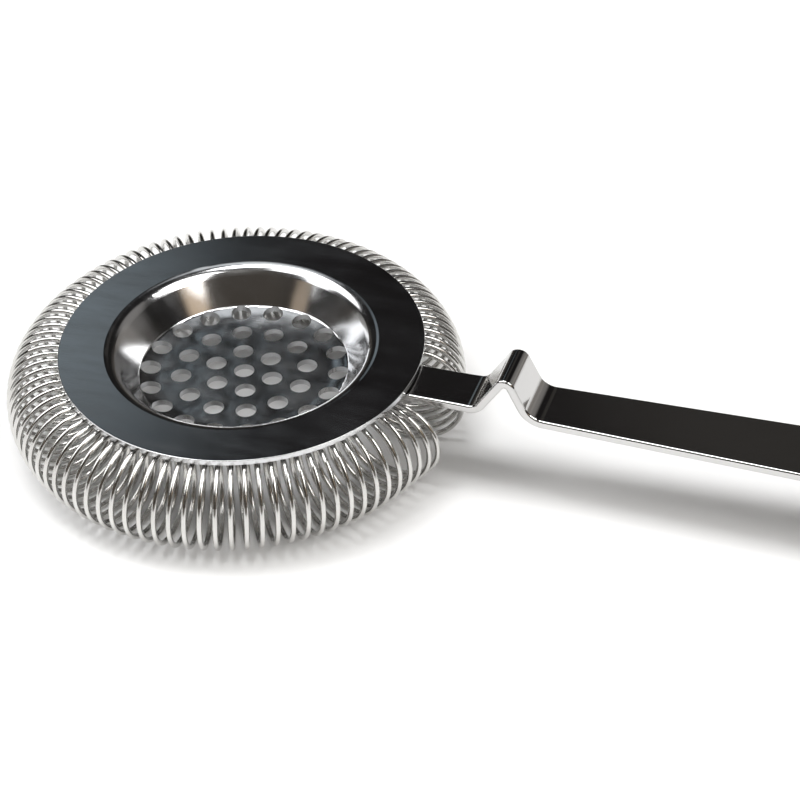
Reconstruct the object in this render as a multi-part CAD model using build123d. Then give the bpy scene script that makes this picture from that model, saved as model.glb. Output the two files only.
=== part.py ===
"""A hawthorne strainer for cocktails, in millimetres.

The origin is on the plate's axis, on the surface the strainer stands on. +Z is up and the handle points along +X.
"""

from build123d import *
from math import atan2, cos, degrees, pi, radians, sin, sqrt
import os

os.makedirs("parts", exist_ok=True)

# ---- driving dimensions ----
plate_radius = 37.5
plate_thickness = 1.2
plate_top_height = 22.0  # above the surface the spring stands on
plate_edge_rounding = 0.15

cup_start_radius = 28.15  # where the flat ring begins to curve down into the cup
cup_bends = [  # the cup's curve from there to its flat floor: (radius, slope in degrees that it ends at)
    (3.0, 45.0),
    (8.0, 52.0),
    (90.0, 56.0),
    (0.8, 14.0),
    (16.0, 0.0),
]

hole_diameter = 4.2
hole_ring_step = 6.5
hole_ring_count = 3
hole_pattern_turn = -7.0  # degrees from the handle's line

handle_thickness = 1.8
handle_top_drop = 1.8  # from the plate's top to the handle's top
handle_start = 30.2  # inner end, under the plate
handle_end = 142.0
handle_root_width = 10.1
handle_mid_width = 11.8
handle_wide_width = 15.8
seat_start = 31.0
seat_end = 36.6
seat_width = 8.6

rest_start = 51.0  # the finger rest's foot on the plate side
rest_peak = 57.9
rest_end = 62.9
rest_rise = 10.5  # to where its two flanks would meet if the crown were sharp
rest_crown_rounding = 2.3
rest_near_foot_rounding = 2.4
rest_far_foot_rounding = 4.0

wire_diameter = 1.1
coil_diameter = 20.5  # outside
coil_end_height = 17.9  # flattened at both ends, to pass under the handle
coil_end_outset = 0.5  # the end turns stand a little further out
coil_ring_radius = 37.4
coil_shift_x = -2.6  # the spring hangs a little away from the handle
coil_shift_y = 1.7
coil_turns = 95
coil_first_angle = 4.5
coil_last_angle = 350.0
coil_bunching = 0.03  # the turns are closer at the back than at the front
end_taper_turns = 2.5
arcs_per_turn = 6

eyelet_wire_diameter = 0.8
eyelet_clearance = 0.35
rear_eyelet_x = 41.2
rear_eyelet_y = 3.2
rear_tail_straight_from = 38.2
rear_tail_end = 43.4
front_eyelet_x = 31.6
front_eyelet_y = -3.3
front_tail_straight_from = 31.9
front_tail_end = 27.6

handle_top = plate_top_height - handle_top_drop
handle_underside = handle_top - handle_thickness


def save(solid, node):
    """Write one piece under its own name."""
    if not solid.is_valid:
        raise ValueError(f"{node} isn't a valid solid")
    solid.label = node
    export_step(solid, f"parts/{node}.step")


def offset_line(points, distance):
    """The same open line moved sideways by distance, with its corners kept sharp."""
    moved = []
    for i, point in enumerate(points):
        before = (points[i] - points[i - 1]).normalized() if i else None
        after = (points[i + 1] - point).normalized() if i < len(points) - 1 else None
        first = before or after
        second = after or before
        corner = (first + second).normalized()
        normal = Vector(-corner.Y, corner.X)
        moved.append(point + normal * (distance / corner.dot(first)))
    return moved


def rounded_polygon(points, radii):
    """A flat face with the corners in radii, a list of (corner number, radius), rounded."""
    face = make_face(Polyline(*points, close=True))
    for number, radius in radii:
        at = points[number]
        corner = min(face.vertices(), key=lambda v: (Vector(v) - at).length)
        face = fillet(corner, radius)
    return face


# ---- plate: a flat ring and a perforated cup, pressed from one disc ----
def sheet_line(depth):
    """The plate's section at one depth in the sheet, from its edge in to the axis."""
    edges = [Line((plate_radius, -depth), (cup_start_radius, -depth))]
    slope = 0.0
    for radius, end_slope in cup_bends:
        turn = end_slope - slope
        bend_radius = radius - depth if turn > 0 else radius + depth
        edges.append(JernArc(edges[-1] @ 1, edges[-1] % 1, bend_radius, turn))
        slope = end_slope
    floor_edge = edges[-1] @ 1
    edges.append(Line(floor_edge, (0, floor_edge.Y)))
    return edges


surface_line = sheet_line(0)
underside_line = sheet_line(plate_thickness)
axis_line = Line(surface_line[-1] @ 1, underside_line[-1] @ 1)
edge_line = Line(underside_line[0] @ 0, surface_line[0] @ 0)
plate_section = make_face(surface_line + [axis_line] + underside_line + [edge_line])
edge_corners = plate_section.vertices().filter_by(lambda v: v.X > plate_radius - 0.01)
plate_section = fillet(edge_corners, plate_edge_rounding)
plate = Pos(0, 0, plate_top_height) * revolve(Plane.XZ * plate_section, Axis.Z)

hole_centres = [(0.0, 0.0)]
for ring in range(1, hole_ring_count + 1):
    for i in range(6 * ring):
        angle = radians(hole_pattern_turn + 60.0 / ring * i)
        hole_centres.append((ring * hole_ring_step * cos(angle), ring * hole_ring_step * sin(angle)))
floor_height = plate_top_height + (surface_line[-1] @ 1).Y
for x, y in hole_centres:
    plate -= Pos(x, y, floor_height) * Cylinder(hole_diameter / 2, 8)
save(plate, "strainer_plate")

# ---- handle: a long strap with a finger rest bent up in it ----
strap_line = [
    Vector(handle_start, 0),
    Vector(rest_start, 0),
    Vector(rest_peak, rest_rise),
    Vector(rest_end, 0),
    Vector(handle_end, 0),
]
strap_under = offset_line(strap_line, -handle_thickness)
strap_section = rounded_polygon(
    strap_line + strap_under[::-1],
    [
        (2, rest_crown_rounding),
        (7, rest_crown_rounding - handle_thickness),
        (1, rest_near_foot_rounding),
        (8, rest_near_foot_rounding + handle_thickness),
        (3, rest_far_foot_rounding),
        (6, rest_far_foot_rounding + handle_thickness),
    ],
)
strap_side = Pos(0, 0, handle_top) * (Plane.XZ * strap_section)
strap = extrude(strap_side, amount=handle_wide_width, both=True)

end_radius = handle_wide_width / 2
half_outline = [
    (handle_start, handle_root_width / 2),
    (48.0, handle_root_width / 2 + 0.1),
    (66.0, handle_mid_width / 2),
    (110.0, 7.2),
    (handle_end - end_radius, end_radius),
]
near_edge = [(x, -y) for x, y in half_outline]
outline = make_face(
    [
        Polyline(*half_outline),
        ThreePointArc(half_outline[-1], (handle_end, 0), near_edge[-1]),
        Polyline(*near_edge[::-1]),
        Line(near_edge[0], half_outline[0]),
    ]
)
blank = extrude(Pos(0, 0, handle_underside - 5) * outline, amount=30)
handle = strap & blank
seat_height = handle_top_drop - plate_thickness
seat = Box(seat_end - seat_start, seat_width, seat_height, align=(Align.MIN, Align.CENTER, Align.MIN))
handle += Pos(seat_start, 0, handle_top) * seat
top_corners = (
    handle.edges()
    .filter_by(lambda e: e.center().X > rest_end + 6)
    .filter_by(lambda e: e.bounding_box().size.Z < 0.01 and e.length > 12)
)
handle = fillet(top_corners, 0.45)
save(handle, "handle")


# ---- spring: one wire wound round a ring, with a straight tail at each end ----
def coil_point(t):
    """The wire's centre line; t runs from 0 at the rear end to 1 at the front end."""
    turns_from_end = coil_turns * min(t, 1 - t)
    share = min(max(turns_from_end / end_taper_turns, 0.0), 1.0)
    share = share * share * (3 - 2 * share)
    turn_height = coil_end_height + (coil_diameter - coil_end_height) * share
    turn_radius = (coil_diameter - wire_diameter) / 2
    along = t + coil_bunching * (cos(2 * pi * t) - 1) / (2 * pi)
    ring_angle = radians(coil_first_angle + (coil_last_angle - coil_first_angle) * along)
    turn_angle = 2 * pi * coil_turns * t + pi / 2
    reach = coil_ring_radius + coil_end_outset * (1 - share) + turn_radius * cos(turn_angle)
    height = turn_height / 2 + (turn_height - wire_diameter) / 2 * sin(turn_angle)
    return Vector(coil_shift_x + reach * cos(ring_angle), coil_shift_y + reach * sin(ring_angle), height)


def coil_direction(t):
    step = 1e-6
    low = max(t - step, 0.0)
    high = min(t + step, 1.0)
    return (coil_point(high) - coil_point(low)).normalized()


def two_arcs(start, start_direction, end, end_direction):
    """Two arcs that join smoothly, as (start, direction, end), between two points with directions."""
    gap = end - start
    both = start_direction + end_direction
    spread = 2 * (1 - start_direction.dot(end_direction))
    if spread < 1e-9:
        return [(start, start_direction, end)]
    reach = (sqrt(gap.dot(both) ** 2 + spread * gap.dot(gap)) - gap.dot(both)) / spread
    far_corner = end - end_direction * reach
    middle = (start + start_direction * reach + far_corner) / 2
    return [
        (start, start_direction, middle),
        (middle, (far_corner - middle).normalized(), end),
    ]


along_x = Vector(1, 0, 0)
coil_start = coil_point(0)
coil_finish = coil_point(1)
rear_bend = Vector(rear_tail_straight_from, rear_eyelet_y, coil_start.Z)
rear_tip = Vector(rear_tail_end, rear_eyelet_y, coil_start.Z)
front_bend = Vector(front_tail_straight_from, front_eyelet_y, coil_finish.Z)
front_tip = Vector(front_tail_end, front_eyelet_y, coil_finish.Z)

stations = [i / (coil_turns * arcs_per_turn) for i in range(coil_turns * arcs_per_turn + 1)]
wire_path = [(rear_tip, -along_x), (rear_bend, -along_x)]
wire_path += [(coil_point(t), coil_direction(t)) for t in stations]
wire_path += [(front_bend, -along_x), (front_tip, -along_x)]

pieces = []
for (start, start_direction), (end, end_direction) in zip(wire_path, wire_path[1:]):
    pieces += two_arcs(start, start_direction, end, end_direction)

wire_skin = []
seam_side = Vector(0, 1, 0)
for start, direction, end in pieces:
    chord = end - start
    section = Plane(origin=start, x_dir=seam_side, z_dir=direction) * Circle(wire_diameter / 2)
    if direction.cross(chord).length < 1e-7 * chord.length:
        piece = extrude(section, amount=chord.length, dir=direction)
    else:
        hinge = direction.cross(chord).normalized()
        inward = hinge.cross(direction)
        bend_radius = chord.dot(chord) / (2 * chord.dot(inward))
        bend_angle = degrees(2 * atan2(chord.dot(inward), chord.dot(direction)))
        piece = revolve(section, Axis(start + inward * bend_radius, hinge), bend_angle)
        seam_side = seam_side.rotate(Axis((0, 0, 0), hinge), bend_angle)
    flat_ends = piece.faces().filter_by(GeomType.PLANE)
    if not wire_skin:
        wire_skin.append(min(flat_ends, key=lambda f: (f.center() - start).length))
    last_end = min(flat_ends, key=lambda f: (f.center() - end).length)
    wire_skin += [face for face in piece.faces() if face.geom_type != GeomType.PLANE]
wire_skin.append(last_end)
spring = Solid(Shell(wire_skin))
if spring.volume < 0:
    spring = Solid(spring.wrapped.Reversed())
save(spring, "coil_spring")


# ---- eyelets: wire staples under the handle that the spring's tails run through ----
def eyelet(x, y, tail_height):
    half_gap = wire_diameter / 2 + eyelet_clearance + eyelet_wire_diameter / 2
    rear_top = Vector(x, y + half_gap, handle_underside)
    front_top = Vector(x, y - half_gap, handle_underside)
    rear_low = Vector(x, y + half_gap, tail_height)
    front_low = Vector(x, y - half_gap, tail_height)
    bottom = Vector(x, y, tail_height - half_gap)
    path = Wire(
        [
            Edge.make_line(rear_top, rear_low),
            Edge.make_three_point_arc(rear_low, bottom, front_low),
            Edge.make_line(front_low, front_top),
        ]
    )
    section = Plane(origin=rear_top, z_dir=(0, 0, -1)) * Circle(eyelet_wire_diameter / 2)
    return sweep(section, path=path)


save(eyelet(rear_eyelet_x, rear_eyelet_y, coil_start.Z), "rear_spring_eyelet")
save(eyelet(front_eyelet_x, front_eyelet_y, coil_finish.Z), "front_spring_eyelet")
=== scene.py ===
import math

import bpy
from mathutils import Matrix, Vector

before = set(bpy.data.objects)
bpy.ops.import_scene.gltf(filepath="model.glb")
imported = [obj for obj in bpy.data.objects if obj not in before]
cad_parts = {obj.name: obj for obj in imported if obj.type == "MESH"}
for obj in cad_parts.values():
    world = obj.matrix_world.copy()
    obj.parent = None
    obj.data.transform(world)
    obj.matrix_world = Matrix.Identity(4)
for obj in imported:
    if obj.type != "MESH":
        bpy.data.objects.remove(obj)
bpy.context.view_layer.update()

scene = bpy.context.scene


# ---- small helpers for node trees ----
metres_per_radian = 0.004  # how fast noise changes round a turned surface
scratch_stretch = 40.0  # noise scale along a scratch
scratch_edge = 0.06  # how quickly a scratch fades at its sides
fine_depth = 0.00002  # of the sheet's grain, turning lines and scratches, in metres
wire_grain_depth = 0.00003


class Nodes:
    """Adds nodes to one tree. An input can be a number, a colour or another node's output socket."""

    def __init__(self, tree):
        self.tree = tree
        tree.nodes.clear()

    def add(self, kind, inputs=None, **settings):
        node = self.tree.nodes.new(kind)
        for name, value in settings.items():
            setattr(node, name, value)
        for name, value in (inputs or {}).items():
            self.put(value, node.inputs[name])
        return node

    def put(self, value, socket):
        if isinstance(value, bpy.types.NodeSocket):
            self.tree.links.new(value, socket)
        else:
            socket.default_value = value

    def math(self, operation, first, second=0.0):
        node = self.add("ShaderNodeMath", operation=operation)
        self.put(first, node.inputs[0])
        self.put(second, node.inputs[1])
        return node.outputs[0]

    def vector(self, operation, first, second=(0.0, 0.0, 0.0)):
        node = self.add("ShaderNodeVectorMath", operation=operation)
        self.put(first, node.inputs[0])
        self.put(second, node.inputs[1])
        return node

    def remap(self, value, low, high, to_low, to_high, smooth=False):
        ends = {"From Min": low, "From Max": high, "To Min": to_low, "To Max": to_high}
        kind = "SMOOTHSTEP" if smooth else "LINEAR"
        node = self.add("ShaderNodeMapRange", {"Value": value, **ends}, interpolation_type=kind)
        return node.outputs["Result"]

    def mix(self, factor, first, second):
        """Two colours mixed; the node's colour sockets come after those for numbers and vectors."""
        node = self.add("ShaderNodeMix", data_type="RGBA")
        self.put(factor, node.inputs[0])
        self.put(first, node.inputs[6])
        self.put(second, node.inputs[7])
        return node.outputs[2]

    def noise(self, place, scale, detail, roughness):
        settings = {"Vector": place, "Scale": scale, "Detail": detail, "Roughness": roughness}
        return self.add("ShaderNodeTexNoise", settings).outputs["Fac"]


def stretched(nodes, place, scale, turn=0.0):
    """The place vector turned about Z and scaled unevenly, which draws noise out into lines."""
    mapping = nodes.add("ShaderNodeMapping", {"Vector": place})
    mapping.inputs["Rotation"].default_value = (0.0, 0.0, turn)
    mapping.inputs["Scale"].default_value = scale
    return mapping.outputs[0]


def round_the_axis(nodes, place):
    """The distance from the Z axis, and a (distance, slow turn, height) where noise runs in circles."""
    x, y, z = nodes.add("ShaderNodeSeparateXYZ", {"Vector": place}).outputs
    squares = nodes.math("ADD", nodes.math("MULTIPLY", x, x), nodes.math("MULTIPLY", y, y))
    distance = nodes.math("SQRT", squares)
    slow_turn = nodes.math("MULTIPLY", nodes.math("ARCTAN2", y, x), metres_per_radian)
    rounds = nodes.add("ShaderNodeCombineXYZ", {"X": distance, "Y": slow_turn, "Z": z})
    return distance, rounds.outputs[0]


def new_material(name):
    material = bpy.data.materials.new(name)
    material.use_nodes = True
    return material, Nodes(material.node_tree)


def finish_steel(nodes, color, roughness, heights):
    """A bare metal shader; heights is a list of (height value, strength, size in metres)."""
    surface = {"Base Color": color, "Roughness": roughness, "Metallic": 1.0}
    shader = nodes.add("ShaderNodeBsdfPrincipled", surface)
    wants_normal = shader.inputs["Normal"]
    for value, strength, size in reversed(heights):
        bump = nodes.add("ShaderNodeBump", {"Strength": strength, "Distance": size, "Height": value})
        nodes.put(bump.outputs[0], wants_normal)
        wants_normal = bump.inputs["Normal"]
    output = nodes.add("ShaderNodeOutputMaterial")
    nodes.put(shader.outputs[0], output.inputs["Surface"])


def scratches(nodes, place, turn, density, share):
    """Thin straight scratches in one direction: 1 on a scratch and 0 off it."""
    across = nodes.noise(stretched(nodes, place, (scratch_stretch, density, density), turn), 1.0, 2.0, 0.6)
    return nodes.remap(across, 1.0 - share, 1.0 - share + scratch_edge, 0.0, 1.0, True)


def crossed_scratches(nodes, place, first, second):
    """Scratches in two directions, each given as (turn, density, share)."""
    return nodes.math("MAXIMUM", scratches(nodes, place, *first), scratches(nodes, place, *second))


# ---- materials ----
cup_floor_radius = 0.0205  # the floor's finish fades out from here, in metres from the axis
cup_wall_radius = 0.0218  # to here, just past the corner with the wall
floor_dent_depth = 0.00025  # metres


def plate_steel():
    """Turned and lightly scratched sheet, with a duller and slightly dented floor in the cup."""
    material, nodes = new_material("plate_steel")
    place = nodes.add("ShaderNodeTexCoord").outputs["Object"]
    distance, rounds = round_the_axis(nodes, place)
    spun = nodes.noise(stretched(nodes, rounds, (9000.0, 700.0, 9000.0)), 1.0, 2.0, 0.5)
    cloud = nodes.noise(place, 60.0, 4.0, 0.55)
    smear = nodes.noise(stretched(nodes, place, (60.0, 300.0, 60.0), 0.4), 1.0, 3.0, 0.6)
    fine = nodes.noise(stretched(nodes, place, (180.0, 6500.0, 6500.0), 0.35), 1.0, 2.0, 0.6)
    marks = crossed_scratches(nodes, place, (0.5, 2600.0, 0.26), (-0.3, 3100.0, 0.24))
    on_floor = nodes.remap(distance, cup_floor_radius, cup_wall_radius, 1.0, 0.0, True)
    mottle = nodes.noise(place, 260.0, 1.0, 0.4)
    dents = nodes.math("MULTIPLY", on_floor, mottle)
    color = nodes.mix(cloud, (0.60, 0.61, 0.63, 1.0), (0.70, 0.70, 0.70, 1.0))
    smear_roughness = nodes.remap(smear, 0.4, 0.7, 0.0, 0.05)
    scratch_roughness = nodes.math("MULTIPLY", marks, 0.10)
    floor_roughness = nodes.math("MULTIPLY", on_floor, nodes.remap(mottle, 0.3, 0.7, 0.02, 0.08))
    roughness = nodes.remap(cloud, 0.3, 0.7, 0.09, 0.15)
    for extra in (smear_roughness, scratch_roughness, floor_roughness):
        roughness = nodes.math("ADD", roughness, extra)
    heights = [
        (fine, 0.10, fine_depth),
        (spun, 0.12, fine_depth),
        (marks, 0.06, fine_depth),
        (dents, 0.5, floor_dent_depth),
    ]
    finish_steel(nodes, color, roughness, heights)
    return material


def handle_steel():
    """Strap with a fine grain along its length and a few light scratches."""
    material, nodes = new_material("handle_steel")
    place = nodes.add("ShaderNodeTexCoord").outputs["Object"]
    cloud = nodes.noise(place, 45.0, 4.0, 0.55)
    fine = nodes.noise(stretched(nodes, place, (120.0, 7000.0, 7000.0)), 1.0, 2.0, 0.6)
    marks = crossed_scratches(nodes, place, (0.12, 2400.0, 0.26), (-0.7, 2900.0, 0.22))
    color = nodes.mix(cloud, (0.58, 0.58, 0.58, 1.0), (0.68, 0.67, 0.66, 1.0))
    roughness = nodes.remap(cloud, 0.3, 0.7, 0.08, 0.14)
    roughness = nodes.math("ADD", roughness, nodes.math("MULTIPLY", marks, 0.10))
    finish_steel(nodes, color, roughness, [(fine, 0.10, fine_depth), (marks, 0.06, fine_depth)])
    return material


def wire_steel(name):
    """Drawn wire, a little duller and darker in places."""
    material, nodes = new_material(name)
    place = nodes.add("ShaderNodeTexCoord").outputs["Object"]
    cloud = nodes.noise(place, 120.0, 4.0, 0.6)
    grain = nodes.noise(place, 2200.0, 3.0, 0.6)
    pits = nodes.noise(place, 5200.0, 2.0, 0.5)
    color = nodes.mix(cloud, (0.54, 0.53, 0.51, 1.0), (0.76, 0.755, 0.74, 1.0))
    cloud_roughness = nodes.remap(cloud, 0.3, 0.7, 0.13, 0.19)
    roughness = nodes.math("ADD", cloud_roughness, nodes.remap(grain, 0.4, 0.7, 0.0, 0.06))
    finish_steel(nodes, color, roughness, [(grain, 0.10, wire_grain_depth), (pits, 0.05, fine_depth)])
    return material


def paper():
    """Matt white for the table."""
    material, nodes = new_material("table_white")
    place = nodes.add("ShaderNodeTexCoord").outputs["Object"]
    cloud = nodes.noise(place, 6.0, 3.0, 0.5)
    color = nodes.mix(cloud, (0.92, 0.92, 0.92, 1.0), (0.94, 0.94, 0.94, 1.0))
    shader = nodes.add("ShaderNodeBsdfPrincipled", {"Base Color": color, "Roughness": 0.7})
    output = nodes.add("ShaderNodeOutputMaterial")
    nodes.put(shader.outputs[0], output.inputs["Surface"])
    return material


def repaint(node, material):
    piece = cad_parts[node]
    for material_slot in piece.material_slots:
        material_slot.material = material


repaint("strainer_plate", plate_steel())
repaint("handle", handle_steel())
repaint("coil_spring", wire_steel("spring_wire"))
eyelet_wire = wire_steel("eyelet_wire")
repaint("front_spring_eyelet", eyelet_wire)
repaint("rear_spring_eyelet", eyelet_wire)


# ---- table ----
table_reach = 3.0
table_mesh = bpy.data.meshes.new("table")
corner_signs = [(-1, -1), (1, -1), (1, 1), (-1, 1)]
table_corners = [(x_sign * table_reach, y_sign * table_reach, 0) for x_sign, y_sign in corner_signs]
table_mesh.from_pydata(table_corners, [], [(0, 1, 2, 3)])
table = bpy.data.objects.new("table", table_mesh)
table.data.materials.append(paper())
scene.collection.objects.link(table)


# ---- room: dark above the horizon and pale below it, with soft patches and softboxes to mirror ----
view_azimuth = 20.22
view_elevation = 39.0
view_roll = -2.72


def towards(azimuth, elevation):
    """Unit vector, in degrees; azimuth 0 points away from the camera and 90 to its right."""
    turn = math.radians(view_azimuth + 90.0 - azimuth)
    rise = math.radians(elevation)
    return Vector((math.cos(turn) * math.cos(rise), math.sin(turn) * math.cos(rise), math.sin(rise)))


world = bpy.data.worlds.new("room")
scene.world = world
world.use_nodes = True
sky = Nodes(world.node_tree)
direction = sky.vector("NORMALIZE", sky.add("ShaderNodeTexCoord").outputs["Generated"]).outputs[0]
height = sky.add("ShaderNodeSeparateXYZ", {"Vector": direction}).outputs["Z"]
ramp = sky.add("ShaderNodeValToRGB", {"Fac": sky.remap(height, -1.0, 1.0, 0.0, 1.0)})
below, above = ramp.color_ramp.elements
below.position = 0.0
below.color = (0.6, 0.6, 0.6, 1.0)
above.position = 1.0
above.color = (0.02, 0.02, 0.02, 1.0)
horizon_colors = [  # (sine of the elevation, colour)
    (-0.02, (0.60, 0.60, 0.60, 1.0)),
    (0.06, (0.10, 0.09, 0.08, 1.0)),
    (0.35, (0.016, 0.015, 0.014, 1.0)),
    (0.60, (0.011, 0.010, 0.010, 1.0)),
]
for sine, color in horizon_colors:
    stop = ramp.color_ramp.elements.new((sine + 1.0) / 2.0)
    stop.color = color
total = ramp.outputs["Color"]

# each patch: azimuth, elevation, radius of its even middle, radius where it fades out, colour
patches = [
    (-11.0, 35.5, 0.5, 6.0, (0.22, 0.26, 0.285)),  # blue-grey, on the left of the plate
    (-10.0, 58.0, 5.0, 13.0, (0.80, 0.83, 0.85)),  # pale, on the cup's lip and the back of its floor
    (-30.0, 70.0, 5.0, 14.0, (0.60, 0.62, 0.64)),
    (14.0, 38.0, 4.0, 8.0, (0.03, 0.028, 0.025)),  # faint, on the handle
    (180.0, 56.0, 4.0, 9.0, (0.16, 0.16, 0.15)),  # dim, behind the camera
    (180.0, 66.0, 10.0, 26.0, (0.10, 0.10, 0.10)),
    (134.0, 31.0, 3.0, 13.0, (0.70, 0.54, 0.38)),  # warm, on the cup's wall
    (-120.0, 25.0, 3.0, 10.0, (0.40, 0.32, 0.24)),
    (66.0, 30.0, 8.0, 22.0, (0.24, 0.23, 0.22)),  # grey, low on the right
    (-54.0, 1.0, 6.0, 16.0, (0.30, 0.30, 0.29)),  # pale, at table height on both sides
    (55.0, 5.0, 6.0, 18.0, (0.18, 0.17, 0.16)),
    (180.0, 26.0, 25.0, 60.0, (0.055, 0.047, 0.038)),  # dark brown, wide, on the camera's side
]
for azimuth, elevation, inner, outer, color in patches:
    nearness = sky.vector("DOT_PRODUCT", direction, tuple(towards(azimuth, elevation))).outputs["Value"]
    faded = math.cos(math.radians(outer))
    even = math.cos(math.radians(inner))
    share = sky.remap(nearness, faded, even, 0.0, 1.0, True)
    glow = sky.add("ShaderNodeVectorMath", operation="SCALE")
    glow.inputs[0].default_value = color
    sky.put(share, glow.inputs["Scale"])
    total = sky.vector("ADD", total, glow.outputs[0]).outputs[0]
background = sky.add("ShaderNodeBackground", {"Color": total, "Strength": 1.0})
sky.put(background.outputs[0], sky.add("ShaderNodeOutputWorld").inputs["Surface"])


def softbox(name, azimuth, elevation, distance, width, height, radiance, color=(1.0, 1.0, 1.0)):
    """A soft rectangular light aimed at the strainer, with its width level."""
    away = towards(azimuth, elevation)
    across = Vector((0.0, 0.0, 1.0)).cross(away).normalized()
    lamp = bpy.data.lights.new(name, "AREA")
    lamp.shape = "RECTANGLE"
    lamp.size = width
    lamp.size_y = height
    lamp.energy = radiance * width * height * math.pi
    lamp.color = color
    holder = bpy.data.objects.new(name, lamp)
    axes = Matrix((across, away.cross(across), away)).transposed()
    holder.matrix_world = Matrix.Translation(away * distance) @ axes.to_4x4()
    scene.collection.objects.link(holder)


softbox("overhead_softbox", -70.0, 80.0, 1.1, 0.36, 0.62, 8.5)
softbox("left_softbox", -82.0, 52.0, 1.2, 1.1, 0.97, 2.6)
softbox("right_softbox", 119.0, 54.0, 1.2, 0.82, 0.69, 4.2, (1.0, 0.99, 0.97))


# ---- camera ----
camera_target = Vector((0.03274, 0.00307, 0.01159))
camera_distance = 0.5
lens_mm = 110.25

back = towards(180.0, view_elevation)
right = towards(90.0, 0.0)
up = back.cross(right)
roll = Matrix.Rotation(math.radians(view_roll), 3, back)
camera_data = bpy.data.cameras.new("camera")
camera_data.lens = lens_mm
camera_data.sensor_width = 36.0
camera_data.clip_start = 0.01
camera_data.clip_end = 20.0
camera = bpy.data.objects.new("camera", camera_data)
axes = Matrix((roll @ right, roll @ up, back)).transposed()
camera.matrix_world = Matrix.Translation(camera_target + back * camera_distance) @ axes.to_4x4()
scene.collection.objects.link(camera)
scene.camera = camera

scene.view_settings.view_transform = "Standard"
scene.view_settings.look = "None"
